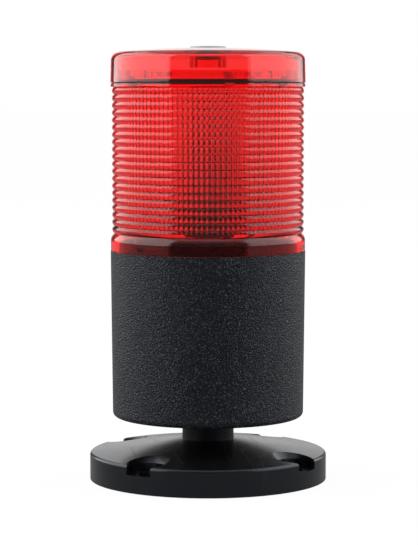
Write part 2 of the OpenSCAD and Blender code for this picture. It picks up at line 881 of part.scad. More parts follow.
// Plate and socket tower, moulded in one
module lamp_holder() {
    color(dark_grey)
        difference() {
            union() {
                translate([0, 0, holder_z0])
                    cylinder(r = collar_bore_r - slip_gap, h = holder_t);
                translate([0, 0, holder_z1 - over])
                    cylinder(d = tower_d, h = tower_h + over);
            }
            translate([0, 0, shell_z0])
                cylinder(r = shell_r + slip_gap, h = tower_h + over);
            for (a = [common_angle, feed_angle])
                rotate([0, 0, a])
                    translate([strip_circle_d / 2 - slip_gap, -strip_w / 2 - slip_gap, holder_z0 - over])
                        cube([strip_t + 2 * slip_gap, strip_w + 2 * slip_gap, holder_t + 2 * over]);
        }
}

// Bayonet slot of the shell: entry from above, run at the pressed level, seat at the locked end
module pin_path(angle) {
    pin_w = lamp_pin_d + 2 * pin_gap;
    low_z = pin_z - lamp_press - lamp_pin_d / 2 - pin_gap;
    r_in = shell_r_in - over;
    r_out = shell_r + over;
    width = 2 * asin(pin_w / 2 / shell_r_in);
    arc_block(r_in, r_out, angle, width, low_z - lead_in, pin_z + lamp_pin_d / 2 + pin_gap);
    arc_block(r_in, r_out, angle + pin_turn / 2, pin_turn, low_z, low_z + pin_w);
    arc_block(r_in, r_out, angle + pin_turn, width, low_z - lead_in, shell_z1 + over);
}

module socket_shell() {
    color(brass)
        difference() {
            ring(shell_r, shell_r_in, shell_z0, shell_z1 - shell_z0);
            for (a = even_angles(2, pin_angle))
                pin_path(a);
        }
}

// Places children at the two contacts of the lamp
module at_contacts() {
    at_angles(even_angles(2, plunger_angle), plunger_spacing / 2)
        children();
}

module socket_insulator() {
    color(ivory)
        difference() {
            translate([0, 0, shell_z0])
                cylinder(r = shell_r_in - slip_gap, h = insulator_t);
            at_contacts()
                translate([0, 0, shell_z0 - over])
                    cylinder(d = plunger_d + 2 * slip_gap, h = insulator_t + 2 * over);
        }
}

// Pins with a tapered nose under the lamp's contacts and a tail inside the spring
module contact_plungers() {
    nose_z = lamp_z0 - seat_gap - plunger_nose;
    color(brass)
        at_contacts() {
            translate([0, 0, plunger_z0])
                cylinder(d = plunger_d, h = nose_z - plunger_z0);
            translate([0, 0, nose_z])
                cylinder(d1 = plunger_d, d2 = plunger_d / 2, h = plunger_nose);
            translate([0, 0, plunger_z0 - plunger_tail_l])
                cylinder(d = plunger_tail_d, h = plunger_tail_l);
        }
}

// One ring of a coil spring's tube, square to its helix
function spring_point(r, step, steps, side, sides, z0, rise) =
    let (
        turn = 360 * spring_turns * step / steps,
        around = 360 * side / sides,
        out = r + spring_wire_d / 2 * cos(around)
    )
    [out * cos(turn), out * sin(turn), z0 + rise * step / steps + spring_wire_d / 2 * sin(around)];

// Coil spring between two levels
module coil_spring(r, z0, z1) {
    sides = 6;
    steps = 12 * spring_turns;
    rise = z1 - z0 - spring_wire_d;
    points = [
        for (step = [0 : steps])
            for (side = [0 : sides - 1])
                spring_point(r, step, steps, side, sides, z0 + spring_wire_d / 2, rise)
    ];
    walls = [
        for (step = [0 : steps - 1])
            for (side = [0 : sides - 1])
                let (near = step * sides, next = (side + 1) % sides)
                [near + side, near + sides + side, near + sides + next, near + next]
    ];
    first_end = [for (side = [0 : sides - 1]) side];
    last_end = [for (side = [sides - 1 : -1 : 0]) steps * sides + side];
    polyhedron(points = points, faces = concat(walls, [first_end, last_end]), convexity = 10);
}

module plunger_springs() {
    color(steel)
        at_contacts()
            coil_spring(plunger_d / 2 - spring_wire_d, shell_z0 + spring_gap, plunger_z0 - spring_gap);
}

// Conductor strip from a pad under the holder to the bridge in the lens's neck
module conductor_strip(angle) {
    color(brass)
        rotate([0, 0, angle])
            translate([strip_circle_d / 2, -strip_w / 2, 0]) {
                translate([0, 0, holder_z0 - pad_t])
                    cube([strip_t, strip_w, bridge_z + bridge_t - holder_z0 + pad_t]);
                translate([0, 0, holder_z0 - pad_t])
                    cube([pad_l, strip_w, pad_t]);
            }
}

module common_strip() {
    conductor_strip(common_angle);
}

module feed_strip() {
    conductor_strip(feed_angle);
}

// Hub on three spokes that carries the upper ends of the strips
module strip_bridge() {
    outer_r = bridge_bore_r - slip_gap;
    hub_r = strip_circle_d / 2 + strip_t + bridge_wall / 2;
    hub_bore_r = strip_circle_d / 2 - bridge_wall / 2;
    spoke_l = outer_r - hub_r - bridge_wall / 2;
    top_z = bridge_z + bridge_t;
    color(red_clear)
        difference() {
            union() {
                ring(hub_r, hub_bore_r, bridge_z, bridge_t);
                at_angles(bridge_angles, hub_r - over)
                    translate([0, -bridge_wall / 2, bridge_z + spoke_inset])
                        cube([spoke_l + over, bridge_wall, bridge_t - 2 * spoke_inset]);
                for (a = bridge_angles)
                    arc_block(outer_r - bridge_wall, outer_r, a, bridge_foot_w, bridge_z, top_z);
            }
            for (a = [common_angle, feed_angle])
                rotate([0, 0, a])
                    translate([strip_circle_d / 2 - slip_gap, -strip_w / 2 - slip_gap, bridge_z - over])
                        cube([strip_t + 2 * slip_gap, strip_w + 2 * slip_gap, bridge_t + 2 * over]);
        }
}

module lamp_cap() {
    color(brass) {
        translate([0, 0, lamp_z0])
            cylinder(r = lamp_cap_r, h = lamp_cap_l);
        for (a = even_angles(2, pin_angle))
            rotate([0, 0, a])
                translate([0, 0, pin_z])
                    rotate([0, quarter, 0])
                        cylinder(d = lamp_pin_d, h = lamp_cap_r + lamp_pin_reach);
    }
}

// Six-sided chip post on a round collar, closed by a flat crown
module lamp_post() {
    color(dark_grey) {
        translate([0, 0, lamp_z1])
            cylinder(r = lamp_cap_r - post_collar_step, h = post_collar_h);
        translate([0, 0, lamp_z1])
            cylinder(r = post_af / 2 / cos(180 / post_sides), h = post_h, $fn = post_sides);
    }
}

module lamp_chips() {
    row_pitch = (post_h - post_collar_h - 2 * post_crown) / chip_rows;
    rows_z = lamp_z1 + post_collar_h + post_crown;
    color(ivory)
        for (side = even_angles(post_sides, 180 / post_sides))
            for (row = [0 : chip_rows - 1])
                rotate([0, 0, side])
                    translate([post_af / 2, -chip_w / 2, rows_z + (row + 0.5) * row_pitch - chip_h / 2])
                        cube([chip_t, chip_w, chip_h]);
}

// Gasket with a flat rim under the cap's edge and an upstand inside it
module cap_gasket() {
    r_in = lens_neck_r + slip_gap;
    rim_r = cap_r - gasket_edge;
    color(rubber)
        rotate_extrude()
            translate([r_in, cap_seat_z]) {
                square([rim_r - r_in, gasket_rim_t]);
                square([cap_bore_r - turn_gap - r_in, cap_gasket_h]);
            }
}

// Section of a domed cup: side with taper, round edge tangent to the dome
module domed_section(r_low, r_high, z0, z1, edge_r, dome_r) {
    dome_z = z1 - dome_r;
    edge_x = r_high - edge_r;
    edge_z = dome_z + sqrt(pow(dome_r - edge_r, 2) - edge_x * edge_x);
    touch_x = dome_r * edge_x / (dome_r - edge_r);
    polygon([[0, z0], [r_low, z0], [r_high, edge_z], [0, edge_z]]);
    translate([edge_x, edge_z])
        circle(r = edge_r);
    intersection() {
        translate([0, dome_z])
            circle(r = dome_r, $fn = 2880);
        translate([0, z0])
            square([touch_x, z1 - z0 + over]);
    }
}

module cap() {
    edge_min_r = 0.4;
    edge_in_r = max(cap_round_r - cap_wall, edge_min_r);
    plug_z = cap_z1 - plug_seat;
    boss_z = cap_z1 - cap_wall - plug_boss_l;
    color(red_clear) {
        difference() {
            union() {
                rotate_extrude()
                    difference() {
                        domed_section(cap_r, cap_r - cap_taper, cap_z0, cap_z1, cap_round_r, cap_dome_r);
                        domed_section(
                            cap_bore_r, cap_bore_r, cap_z0 - over, cap_z1 - cap_wall, edge_in_r,
                            cap_dome_r - cap_wall
                        );
                    }
                translate([0, 0, boss_z])
                    cylinder(d = plug_d, h = plug_boss_l + cap_wall / 2);
            }
            translate([0, 0, plug_z])
                cylinder(d = plug_d + 2 * slip_gap, h = plug_seat + over);
            translate([0, 0, boss_z - over])
                cylinder(d = plug_shank_d + 2 * slip_gap, h = plug_z - boss_z + 2 * over);
        }
        for (a = cap_lug_angles)
            arc_block(lens_neck_r + turn_gap, cap_bore_r + over, a, cap_lug_w, cap_lug_z0, cap_lug_z1);
    }
}

// Blanking plug: low round head, hollow shank in the cap's boss
module cap_plug() {
    head_r = plug_d / 2;
    shank_r = plug_shank_d / 2;
    core_r = shank_r - plug_wall;
    head_z0 = cap_z1 - plug_seat;
    head_z1 = cap_z1 + plug_rise;
    end_z = head_z0 - plug_shank_l;
    color(grey)
        rotate_extrude()
            polygon([
                [0, head_z0], [core_r, head_z0], [core_r, end_z], [shank_r - plug_edge, end_z],
                [shank_r, end_z + plug_edge], [shank_r, head_z0], [head_r, head_z0],
                [head_r, head_z1 - plug_edge], [head_r - plug_edge, head_z1], [0, head_z1]
            ]);
}

mounting_foot();
stem_tube();
foot_washer();
foot_locknut();
stem_seal();
housing_washer();
housing_locknut();
base_housing();
lens_seal();
terminal_carrier();
carrier_screws();
terminal_block();
terminal_clamps();
terminal_screws();
contact_blades();
lens();
lamp_holder();
socket_shell();
socket_insulator();
contact_plungers();
plunger_springs();
common_strip();
feed_strip();
strip_bridge();
lamp_cap();
lamp_post();
lamp_chips();
cap_gasket();
cap();
cap_plug();
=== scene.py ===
"""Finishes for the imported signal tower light, its small moulded details and the stage of the photograph."""

import math

import bmesh
import bpy
from bpy.props import FloatProperty, FloatVectorProperty, PointerProperty
from mathutils import Matrix, Vector


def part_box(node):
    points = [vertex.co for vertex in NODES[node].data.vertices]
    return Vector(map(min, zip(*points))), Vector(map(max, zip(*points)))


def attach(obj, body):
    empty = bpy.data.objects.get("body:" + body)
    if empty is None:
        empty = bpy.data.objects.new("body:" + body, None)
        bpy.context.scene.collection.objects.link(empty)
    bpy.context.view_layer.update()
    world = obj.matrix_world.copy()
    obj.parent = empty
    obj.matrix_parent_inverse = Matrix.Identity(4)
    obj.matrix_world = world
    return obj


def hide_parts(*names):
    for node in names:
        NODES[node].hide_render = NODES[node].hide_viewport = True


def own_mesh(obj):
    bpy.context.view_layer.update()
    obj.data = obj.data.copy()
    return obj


bl_info = {
    "name": "Signal tower light",
    "version": (1, 0, 0),
    "blender": (4, 5, 0),
    "location": "3D View > Sidebar > Signal light",
    "description": "Finishes, small details and stage for the packed signal tower light",
    "category": "Object",
}

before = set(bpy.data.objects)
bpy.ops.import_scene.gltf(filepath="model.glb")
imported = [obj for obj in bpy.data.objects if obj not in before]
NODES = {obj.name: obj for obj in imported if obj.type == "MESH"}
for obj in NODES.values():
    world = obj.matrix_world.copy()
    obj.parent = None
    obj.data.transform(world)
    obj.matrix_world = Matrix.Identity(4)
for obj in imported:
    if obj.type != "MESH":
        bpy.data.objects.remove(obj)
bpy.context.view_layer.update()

UP = (0.0, 0.0, 1.0)
WHITE = (1.0, 1.0, 1.0)

# Mould grain: pebbles and fine noise make the height, a wide cloud and bright specks the tone. Where the tone
# is spread wide, as on the housing, the specks are the grain's random tone and also painted glints of light
# on the grain
PEBBLE_SOFTNESS = 0.6
PEBBLE_REACH = 0.8
PEBBLE_SHARE = 0.65
FINE_RATE = 1.1
FINE_SHARE = 0.5
SPECK_AND_GLINT_EDGES = (0.55, 0.66)
SPECK_AND_GLINT_SHARE = 0.94
CLOUD_SCALE = 55.0
CLOUD_SHARE = 0.06

# Grain of the small inner mouldings: width and depth of one bump, in metres
SMALL_GRAIN = (0.0004, 0.00001)
CHIP_GRAIN = (0.0003, 0.000005)
PHOSPHOR_GRAIN = (0.0002, 0.000004)

# Handling marks: cloudy patches, and scuffs drawn out along a slanting line
PATCH_EDGES = (0.3, 0.7)
SCUFF_EDGES = (0.6, 0.72)
SCUFF_TURN = (0.3, 0.5, 0.8)
SCUFF_STRETCH = (1.0, 0.07, 0.3)

# What a scuff adds to the roughness
PLASTIC_SCUFF = 0.06
METAL_SCUFF = 0.1

# Clear plastic: cloud and tones of its flow, depth and strength of its waves, bending of light
FLOW_CLOUD_SCALE = 40.0
FLOW_TONES = (0.97, 1.03)
FLOW_DEPTH = 0.00001
FLOW_STRENGTH = 0.1
CLEAR_IOR = 1.5

# Metal: scales of its marks, depth and strength of its scuffs, soft edge of tinned ends in metres
METAL_PATCH_SCALE = 160.0
METAL_SCUFF_SCALE = 1500.0
METAL_SCUFF_DEPTH = 0.00001
METAL_SCUFF_STRENGTH = 0.4
TIN_EDGE = 0.0006

# Rubber: scales of its grain and bloom, depth of the grain, how much lighter the bloom is, roughness
RUBBER_GRAIN_SCALE = 2600.0
RUBBER_BLOOM_SCALE = 120.0
RUBBER_GRAIN_DEPTH = 0.00002
RUBBER_BLOOM = 2.0
RUBBER_ROUGH = (0.65, 0.85)

# Chip windows: share of the chip's face, part of the rise sunk in the chip, rounding of corners and edges
WINDOW_SHARE = 0.72
WINDOW_SINK = 0.5
WINDOW_CORNER = 0.7
WINDOW_EDGE = 0.8

# Distance in metres that joins a mesh's split corners
SAME_POINT = 1e-6

# Coil springs: turns, steps in a turn and sides of the wire
COIL_TURNS = 4
COIL_STEPS = 20
WIRE_SIDES = 10

# Stage: sizes in metres, angles in degrees. The flags' edges are angles from straight behind the part,
# and the lights' turns are angles from the camera's direction.
SENSOR_W_MM = 36.0
FLOOR_R = 40.0
FLOOR_STEPS = 96
SCREEN_R = 1.7
SCREEN_H = 2.1
SCREEN_REACH = 47.0
SCREEN_STEPS = 24
APRON_R = 0.3
APRON_RISE = 0.001
FLAG_R = 1.5
FLAG_H = 1.2
FLAG_EDGES = (16.0, 36.0)
FLAG_STEPS = 8
LIGHT_R = 0.9
LIGHT_H = 1.5
LEFT_TURN = -95.0
LEFT_W = 2.2
RIGHT_TURN = 100.0
RIGHT_W = 2.1

# Steps that light may take through the clear walls
LIGHT_STEPS = 32


def colour(name, description, default):
    """A colour property."""
    return FloatVectorProperty(
        name=name, description=description, default=default, size=3, min=0.0, max=1.0, subtype="COLOR"
    )


def length(name, description, default, low=0.0, high=10.0):
    """A length property in metres."""
    return FloatProperty(
        name=name, description=description, default=default, min=low, max=high, precision=5, unit="LENGTH"
    )


def factor(name, description, default, low=0.0, high=1.0):
    """A share or level property."""
    return FloatProperty(
        name=name, description=description, default=default, min=low, max=high, precision=3,
        subtype="FACTOR",
    )


def angle(name, description, default):
    """An angle property, with its default in degrees."""
    return FloatProperty(
        name=name, description=description, default=math.radians(default), precision=3, unit="ROTATION",
        subtype="ANGLE",
    )


class BlackPlastic(bpy.types.PropertyGroup):
    """Black moulded plastic of the housing, the foot and the stem."""

    housing: colour("Housing", "Colour of the grained housing", (0.0018, 0.002, 0.0024))
    foot: colour("Foot", "Colour of the foot", (0.005, 0.0052, 0.0058))
    stem: colour("Stem", "Colour of the stem", (0.003, 0.003, 0.0034))
    sheen: colour("Sheen", "Cool tint of the black plastic's reflections", (0.8, 0.86, 1.0))
    grain: length("Grain", "Width of one bump of the housing's grain", 0.00056, 0.0001, 0.005)
    grain_depth: length("Grain depth", "Depth of the housing's grain", 0.0003, 0.0, 0.001)
    fine_grain: length("Fine grain", "Width of one bump on foot and stem", 0.0004, 0.0001, 0.005)
    fine_depth: length("Fine grain depth", "Depth of the grain on foot and stem", 0.00002, 0.0, 0.001)


class ClearRed(bpy.types.PropertyGroup):
    """Clear red plastic of the lens and the cap."""

    lens: colour("Lens", "Colour of the lens's skin", (1.0, 0.5, 0.49))
    cap: colour("Cap", "Colour of the cap's skin", (1.0, 0.37, 0.37))
    tint: colour("Tint", "Colour that the plastic takes on with its depth", (0.99, 0.046, 0.046))
    tint_depth: FloatProperty(
        name="Tint depth", description="How strongly the plastic is tinted, per metre", default=480.0,
        min=0.0, max=5000.0,
    )
    polish: factor("Polish", "Roughness of the moulded surface", 0.03)


class InnerParts(bpy.types.PropertyGroup):
    """Plastic and metal inside the lens and the housing."""

    holder: colour("Holder", "Dark plastic of the lamp holder and terminals", (0.06, 0.06, 0.062))
    post: colour("Post", "Black plastic of the lamp's post", (0.02, 0.02, 0.021))
    ivory: colour("Insulator", "Ivory plastic of the socket's insulator", (0.75, 0.7, 0.55))
    chip: colour("Chip", "Lamp chip package", (0.3, 0.28, 0.24))
    phosphor: colour("Phosphor", "Windows of the lamp's chips", (0.45, 0.33, 0.06))
    window_rise: length("Window rise", "How far a window stands out of its chip", 0.0001, 0.00002, 0.001)
    plug: colour("Plug", "Grey plug in the cap", (0.44, 0.44, 0.45))
    rubber: colour("Rubber", "Seals and gasket", (0.012, 0.012, 0.012))
    brass: colour("Brass", "Contacts and lamp cap", (0.62, 0.5, 0.28))
    strip: colour("Strips", "Browned brass of the two conductor strips", (0.13, 0.11, 0.085))
    tin: colour("Tin", "Tinned upper ends of the strips", (0.9, 0.9, 0.91))
    tin_length: length("Tin length", "Length of the strips' tinned ends", 0.008, 0.0, 0.05)
    zinc: colour("Zinc", "Washers, nuts and screws", (0.6, 0.6, 0.62))
    wire: colour("Spring wire", "Springs of the contacts", (0.52, 0.52, 0.53))
    wire_d: length("Spring wire diameter", "Wire of the contacts' springs", 0.0002, 0.0001, 0.0004)


class StudioStage(bpy.types.PropertyGroup):
    """Camera, floor, cards and lights."""

    distance: length("Camera distance", "From the part's axis to the camera", 0.76364, 0.2, 5.0)
    height: length("Camera height", "Height of the camera above the floor", 0.13604, 0.0, 3.0)
    turn: angle("Camera turn", "How far the camera stands round to the part's left", 10.1)
    aim: angle("Camera aim", "How far the camera looks past the part's axis, to the right", 0.027)
    tilt: angle("Camera tilt", "How far the camera looks down", 4.615)
    lens: FloatProperty(
        name="Focal length", description="Focal length of the camera", default=140.4, min=20.0, max=400.0,
        subtype="DISTANCE_CAMERA",
    )
    floor: colour("Floor", "Colour of the floor", (0.88, 0.88, 0.88))
    floor_white: factor("Floor white", "How far the floor turns white to the camera", 0.94)
    floor_glint: factor("Floor in reflections", "How bright the floor is in reflections", 0.3)
    floor_through: factor("Floor in glass", "How bright the floor is through the lens", 0.85)
    screen: colour("Screen", "Colour of the grey screen round the camera", (0.18, 0.18, 0.18))
    apron: colour("Apron", "Colour of the dark apron on the floor in front", (0.08, 0.08, 0.08))
    screen_through: factor("Screen in glass", "How bright the front screen is through the lens", 0.4)
    apron_through: factor("Apron in glass", "How bright the front apron is through the lens", 0.2)
    flag: colour("Flags", "Colour of the dark flags beside the background", (0.06, 0.06, 0.06))
    surround: factor("Surround", "Brightness of the white surround", 1.0, 0.0, 2.0)
    left_level: factor("Left light", "Brightness of the left light beside white", 1.55, 0.0, 20.0)
    right_level: factor("Right light", "Brightness of the right light beside white", 1.15, 0.0, 20.0)
    light_foot: length("Light foot", "Height of the side lights' lower edge", 0.12, 0.0, 2.0)


class SignalLight(bpy.types.PropertyGroup):
    """All settings of the signal light."""

    black: PointerProperty(type=BlackPlastic)
    clear: PointerProperty(type=ClearRed)
    inner: PointerProperty(type=InnerParts)
    stage: PointerProperty(type=StudioStage)


def feed(tree, value, socket):
    """Links a source to a socket, or sets the socket's plain number or colour."""
    if isinstance(value, bpy.types.NodeSocket):
        tree.links.new(value, socket)
    elif isinstance(value, (int, float)):
        socket.default_value = value
    else:
        socket.default_value = (*value, 1.0)


def math_node(tree, operation, a, b):
    """Two values or sockets through one Math node."""
    node = tree.nodes.new("ShaderNodeMath")
    node.operation = operation
    feed(tree, a, node.inputs[0])
    feed(tree, b, node.inputs[1])
    return node.outputs["Value"]


def weighted(tree, a, a_share, b, b_share):
    """The sum of two values, each times its share."""
    return math_node(
        tree, "ADD", math_node(tree, "MULTIPLY", a, a_share), math_node(tree, "MULTIPLY", b, b_share)
    )


def object_place(tree):
    """The Object coordinate of the surface."""
    return tree.nodes.new("ShaderNodeTexCoord").outputs["Object"]


def noise(tree, place, scale, detail, rough):
    """Noise over a place; the scale is a number or a socket."""
    node = tree.nodes.new("ShaderNodeTexNoise")
    node.inputs["Detail"].default_value = detail
    node.inputs["Roughness"].default_value = rough
    tree.links.new(place, node.inputs["Vector"])
    feed(tree, scale, node.inputs["Scale"])
    return node.outputs["Fac"]


def remap(tree, value, edges, low=0.0, high=1.0):
    """Stretches a value from between two edges to a new range."""
    node = tree.nodes.new("ShaderNodeMapRange")
    node.inputs["From Min"].default_value = edges[0]
    node.inputs["From Max"].default_value = edges[1]
    node.inputs["To Min"].default_value = low
    node.inputs["To Max"].default_value = high
    tree.links.new(value, node.inputs["Value"])
    return node.outputs["Result"]


def mixed(tree, mask, dark, light):
    """A colour between two, by a mask; each of the two is a colour or a socket."""
    mix = tree.nodes.new("ShaderNodeMix")
    mix.data_type = "RGBA"
    feed(tree, dark, mix.inputs["A"])
    feed(tree, light, mix.inputs["B"])
    tree.links.new(mask, mix.inputs["Factor"])
    return mix.outputs["Result"]


def shade(base, by):
    """A colour made lighter or darker, kept between 0 and 1."""
    return tuple(min(1.0, max(0.0, c * by)) for c in base)


def node_group(name, inputs, outputs):
    """A new shader node group with its named values: (group, inputs node, outputs node)."""
    group = bpy.data.node_groups.new(name, "ShaderNodeTree")
    for socket, default in inputs.items():
        made = group.interface.new_socket(name=socket, in_out="INPUT", socket_type="NodeSocketFloat")
        made.default_value = default
    for socket in outputs:
        group.interface.new_socket(name=socket, in_out="OUTPUT", socket_type="NodeSocketFloat")
    return group, group.nodes.new("NodeGroupInput"), group.nodes.new("NodeGroupOutput")


def grain_group(name):
    """Spark-eroded grain of a mould: rounded pebbles with finer noise, as a height and a tone."""
    group, given, made = node_group(name, {"Scale": 1300.0}, ("Height", "Tone"))
    scale = given.outputs["Scale"]
    place = object_place(group)
    cells = group.nodes.new("ShaderNodeTexVoronoi")
    cells.feature = "SMOOTH_F1"
    cells.inputs["Smoothness"].default_value = PEBBLE_SOFTNESS
    group.links.new(place, cells.inputs["Vector"])
    group.links.new(scale, cells.inputs["Scale"])
    pebbles = remap(group, cells.outputs["Distance"], (0.0, PEBBLE_REACH), 1.0, 0.0)
    fine = noise(group, place, math_node(group, "MULTIPLY", scale, FINE_RATE), 2.0, 0.6)
    height = weighted(group, pebbles, PEBBLE_SHARE, fine, FINE_SHARE)
    group.links.new(height, made.inputs["Height"])
    cloud = noise(group, place, CLOUD_SCALE, 3.0, 0.55)
    # Bright specks of random tone; where a material spreads them wide they are also painted glints on the
    # grain
    specks_and_glints = remap(group, fine, SPECK_AND_GLINT_EDGES)
    tone = weighted(group, cloud, CLOUD_SHARE, specks_and_glints, SPECK_AND_GLINT_SHARE)
    group.links.new(tone, made.inputs["Tone"])
    return group


def handling_group(name):
    """Slight wear of handled plastic and metal: cloudy patches and fine scuffs, as two masks."""
    group, given, made = node_group(
        name, {"Patch scale": 35.0, "Scuff scale": 420.0}, ("Patches", "Scuffs")
    )
    place = object_place(group)
    patches = noise(group, place, given.outputs["Patch scale"], 4.0, 0.6)
    group.links.new(remap(group, patches, PATCH_EDGES), made.inputs["Patches"])
    stretch = group.nodes.new("ShaderNodeMapping")
    stretch.inputs["Rotation"].default_value = SCUFF_TURN
    stretch.inputs["Scale"].default_value = SCUFF_STRETCH
    group.links.new(place, stretch.inputs["Vector"])
    scuffs = noise(group, stretch.outputs["Vector"], given.outputs["Scuff scale"], 2.0, 0.5)
    group.links.new(remap(group, scuffs, SCUFF_EDGES), made.inputs["Scuffs"])
    return group


def flow_group(name):
    """Faint waves and a cloud in clear mouldings, as a height and a tone."""
    group, given, made = node_group(name, {"Scale": 90.0}, ("Height", "Tone"))
    place = object_place(group)
    waves = noise(group, place, given.outputs["Scale"], 2.0, 0.4)
    group.links.new(waves, made.inputs["Height"])
    cloud = noise(group, place, FLOW_CLOUD_SCALE, 2.0, 0.5)
    group.links.new(remap(group, cloud, PATCH_EDGES), made.inputs["Tone"])
    return group


GROUP_MAKERS = {"Mould grain": grain_group, "Handling marks": handling_group, "Mould flow": flow_group}


def place_group(tree, name, **values):
    """Puts a node group into a material with its own values; the first use builds the group."""
    node = tree.nodes.new("ShaderNodeGroup")
    node.node_tree = bpy.data.node_groups.get(name) or GROUP_MAKERS[name](name)
    for socket, value in values.items():
        node.inputs[socket.replace("_", " ")].default_value = value
    return node


def new_material(name, kind="ShaderNodeBsdfPrincipled"):
    """An empty material with its shader: (material, tree, shader)."""
    material = bpy.data.materials.new(name)
    material.use_nodes = True
    tree = material.node_tree
    tree.nodes.clear()
    shader = tree.nodes.new(kind)
    output = tree.nodes.new("ShaderNodeOutputMaterial")
    tree.links.new(shader.outputs["BSDF"], output.inputs["Surface"])
    return material, tree, shader


def bumped(tree, shader, height, depth, strength=1.0):
    """Sends a height through a Bump node to the shader's normal."""
    bump = tree.nodes.new("ShaderNodeBump")
    bump.inputs["Distance"].default_value = depth
    bump.inputs["Strength"].default_value = strength
    tree.links.new(height, bump.inputs["Height"])
    tree.links.new(bump.outputs["Normal"], shader.inputs["Normal"])


def scuffed(tree, shader, rough, marks, share):
    """Sends a roughness to the shader, raised where the scuffs are."""
    scuffs = math_node(tree, "MULTIPLY", marks.outputs["Scuffs"], share)
    tree.links.new(math_node(tree, "ADD", rough, scuffs), shader.inputs["Roughness"])


def moulded_plastic(name, base, grain, rough, contrast, specular=0.5, sheen=WHITE):
    """Opaque moulded plastic with grain (width, depth), an uneven tone and handling marks."""
    material, tree, shader = new_material(name)
    width, depth = grain
    grained = place_group(tree, "Mould grain", Scale=1.0 / width)
    marks = place_group(tree, "Handling marks")
    skin = mixed(tree, grained.outputs["Tone"], shade(base, 1.0 / contrast), shade(base, contrast))
    tree.links.new(skin, shader.inputs["Base Color"])
    scuffed(tree, shader, remap(tree, marks.outputs["Patches"], (0.0, 1.0), *rough), marks, PLASTIC_SCUFF)
    shader.inputs["Specular IOR Level"].default_value = specular
    shader.inputs["Specular Tint"].default_value = (*sheen, 1.0)
    bumped(tree, shader, grained.outputs["Height"], depth)
    return material


def clear_plastic(name, base, clear):
    """Clear tinted plastic with a polished skin and faint flow waves, darker where it is thicker."""
    material, tree, shader = new_material(name)
    flow = place_group(tree, "Mould flow")
    skin = mixed(tree, flow.outputs["Tone"], *(shade(base, tone) for tone in FLOW_TONES))
    tree.links.new(skin, shader.inputs["Base Color"])
    shader.inputs["Roughness"].default_value = clear.polish
    shader.inputs["IOR"].default_value = CLEAR_IOR
    shader.inputs["Transmission Weight"].default_value = 1.0
    bumped(tree, shader, flow.outputs["Height"], FLOW_DEPTH, FLOW_STRENGTH)
    depth = tree.nodes.new("ShaderNodeVolumeAbsorption")
    depth.inputs["Color"].default_value = (*clear.tint, 1.0)
    depth.inputs["Density"].default_value = clear.tint_depth
    tree.links.new(depth.outputs["Volume"], tree.nodes["Material Output"].inputs["Volume"])
    return material


def above(tree, height):
    """A mask that is 1 above a height of the part, with a short soft edge."""
    parts = tree.nodes.new("ShaderNodeSeparateXYZ")
    tree.links.new(object_place(tree), parts.inputs["Vector"])
    return remap(tree, parts.outputs["Z"], (height, height + TIN_EDGE))


def worked_metal(name, base, rough, dull, tin=None, tin_z=0.0):
    """Plated or rolled metal with dull patches and fine scuffs, and tinned above a height where asked."""
    material, tree, shader = new_material(name)
    marks = place_group(
        tree, "Handling marks", Patch_scale=METAL_PATCH_SCALE, Scuff_scale=METAL_SCUFF_SCALE
    )
    patches = marks.outputs["Patches"]
    skin = mixed(tree, patches, shade(base, dull), base)
    if tin:
        skin = mixed(tree, above(tree, tin_z), skin, tin)
    tree.links.new(skin, shader.inputs["Base Color"])
    shader.inputs["Metallic"].default_value = 1.0
    bright, worn = rough
    scuffed(tree, shader, remap(tree, patches, (0.0, 1.0), worn, bright), marks, METAL_SCUFF)
    bumped(tree, shader, marks.outputs["Scuffs"], METAL_SCUFF_DEPTH, METAL_SCUFF_STRENGTH)
    return material


def rubber_skin(name, base):
    """Soft black rubber with a dusty bloom."""
    material, tree, shader = new_material(name)
    grained = place_group(tree, "Mould grain", Scale=RUBBER_GRAIN_SCALE)
    marks = place_group(tree, "Handling marks", Patch_scale=RUBBER_BLOOM_SCALE)
    skin = mixed(tree, marks.outputs["Patches"], base, shade(base, RUBBER_BLOOM))
    tree.links.new(skin, shader.inputs["Base Color"])
    rough = remap(tree, grained.outputs["Tone"], (0.0, 1.0), *RUBBER_ROUGH)
    tree.links.new(rough, shader.inputs["Roughness"])
    bumped(tree, shader, grained.outputs["Height"], RUBBER_GRAIN_DEPTH)
    return material


def finish_nodes(material, *names):
    """Gives CAD nodes a better material in their own slots."""
    for name in names:
        for slot in NODES[name].material_slots:
            slot.material = material


class SIGNAL_OT_foot(bpy.types.Operator):
    """Gives the foot and the stem their satin black plastic"""

    bl_idname = "signal.foot"
    bl_label = "Foot and stem"

    def execute(self, context):
        black = context.scene.signal_light.black
        grain = (black.fine_grain, black.fine_depth)
        foot = moulded_plastic(
            "foot satin black", black.foot, grain, rough=(0.2, 0.26), contrast=1.25, specular=0.46,
            sheen=black.sheen,
        )
        finish_nodes(foot, "mounting_foot")
        stem = moulded_plastic(
            "stem satin black", black.stem, grain, rough=(0.35, 0.45), contrast=1.25, specular=0.22,
            sheen=black.sheen,
        )
        finish_nodes(stem, "stem_tube")
        return {"FINISHED"}


class SIGNAL_OT_housing(bpy.types.Operator):
    """Gives the housing its grained black plastic"""

    bl_idname = "signal.housing"
    bl_label = "Housing"

    def execute(self, context):
        black = context.scene.signal_light.black
        # Contrast 28 makes the grain's bright specks painted glints of light on the grain, on top of its
        # random tone
        grained = moulded_plastic(
            "housing black grain and painted glints", black.housing, (black.grain, black.grain_depth), rough=(0.34, 0.42),
            contrast=28.0, specular=0.33, sheen=black.sheen,
        )
        finish_nodes(grained, "base_housing")
        return {"FINISHED"}


class SIGNAL_OT_lens(bpy.types.Operator):
    """Gives the lens and its bridge their clear red plastic"""

    bl_idname = "signal.lens"
    bl_label = "Lens"

    def execute(self, context):
        clear = context.scene.signal_light.clear
        finish_nodes(clear_plastic("lens clear red", clear.lens, clear), "lens", "strip_bridge")
        return {"FINISHED"}


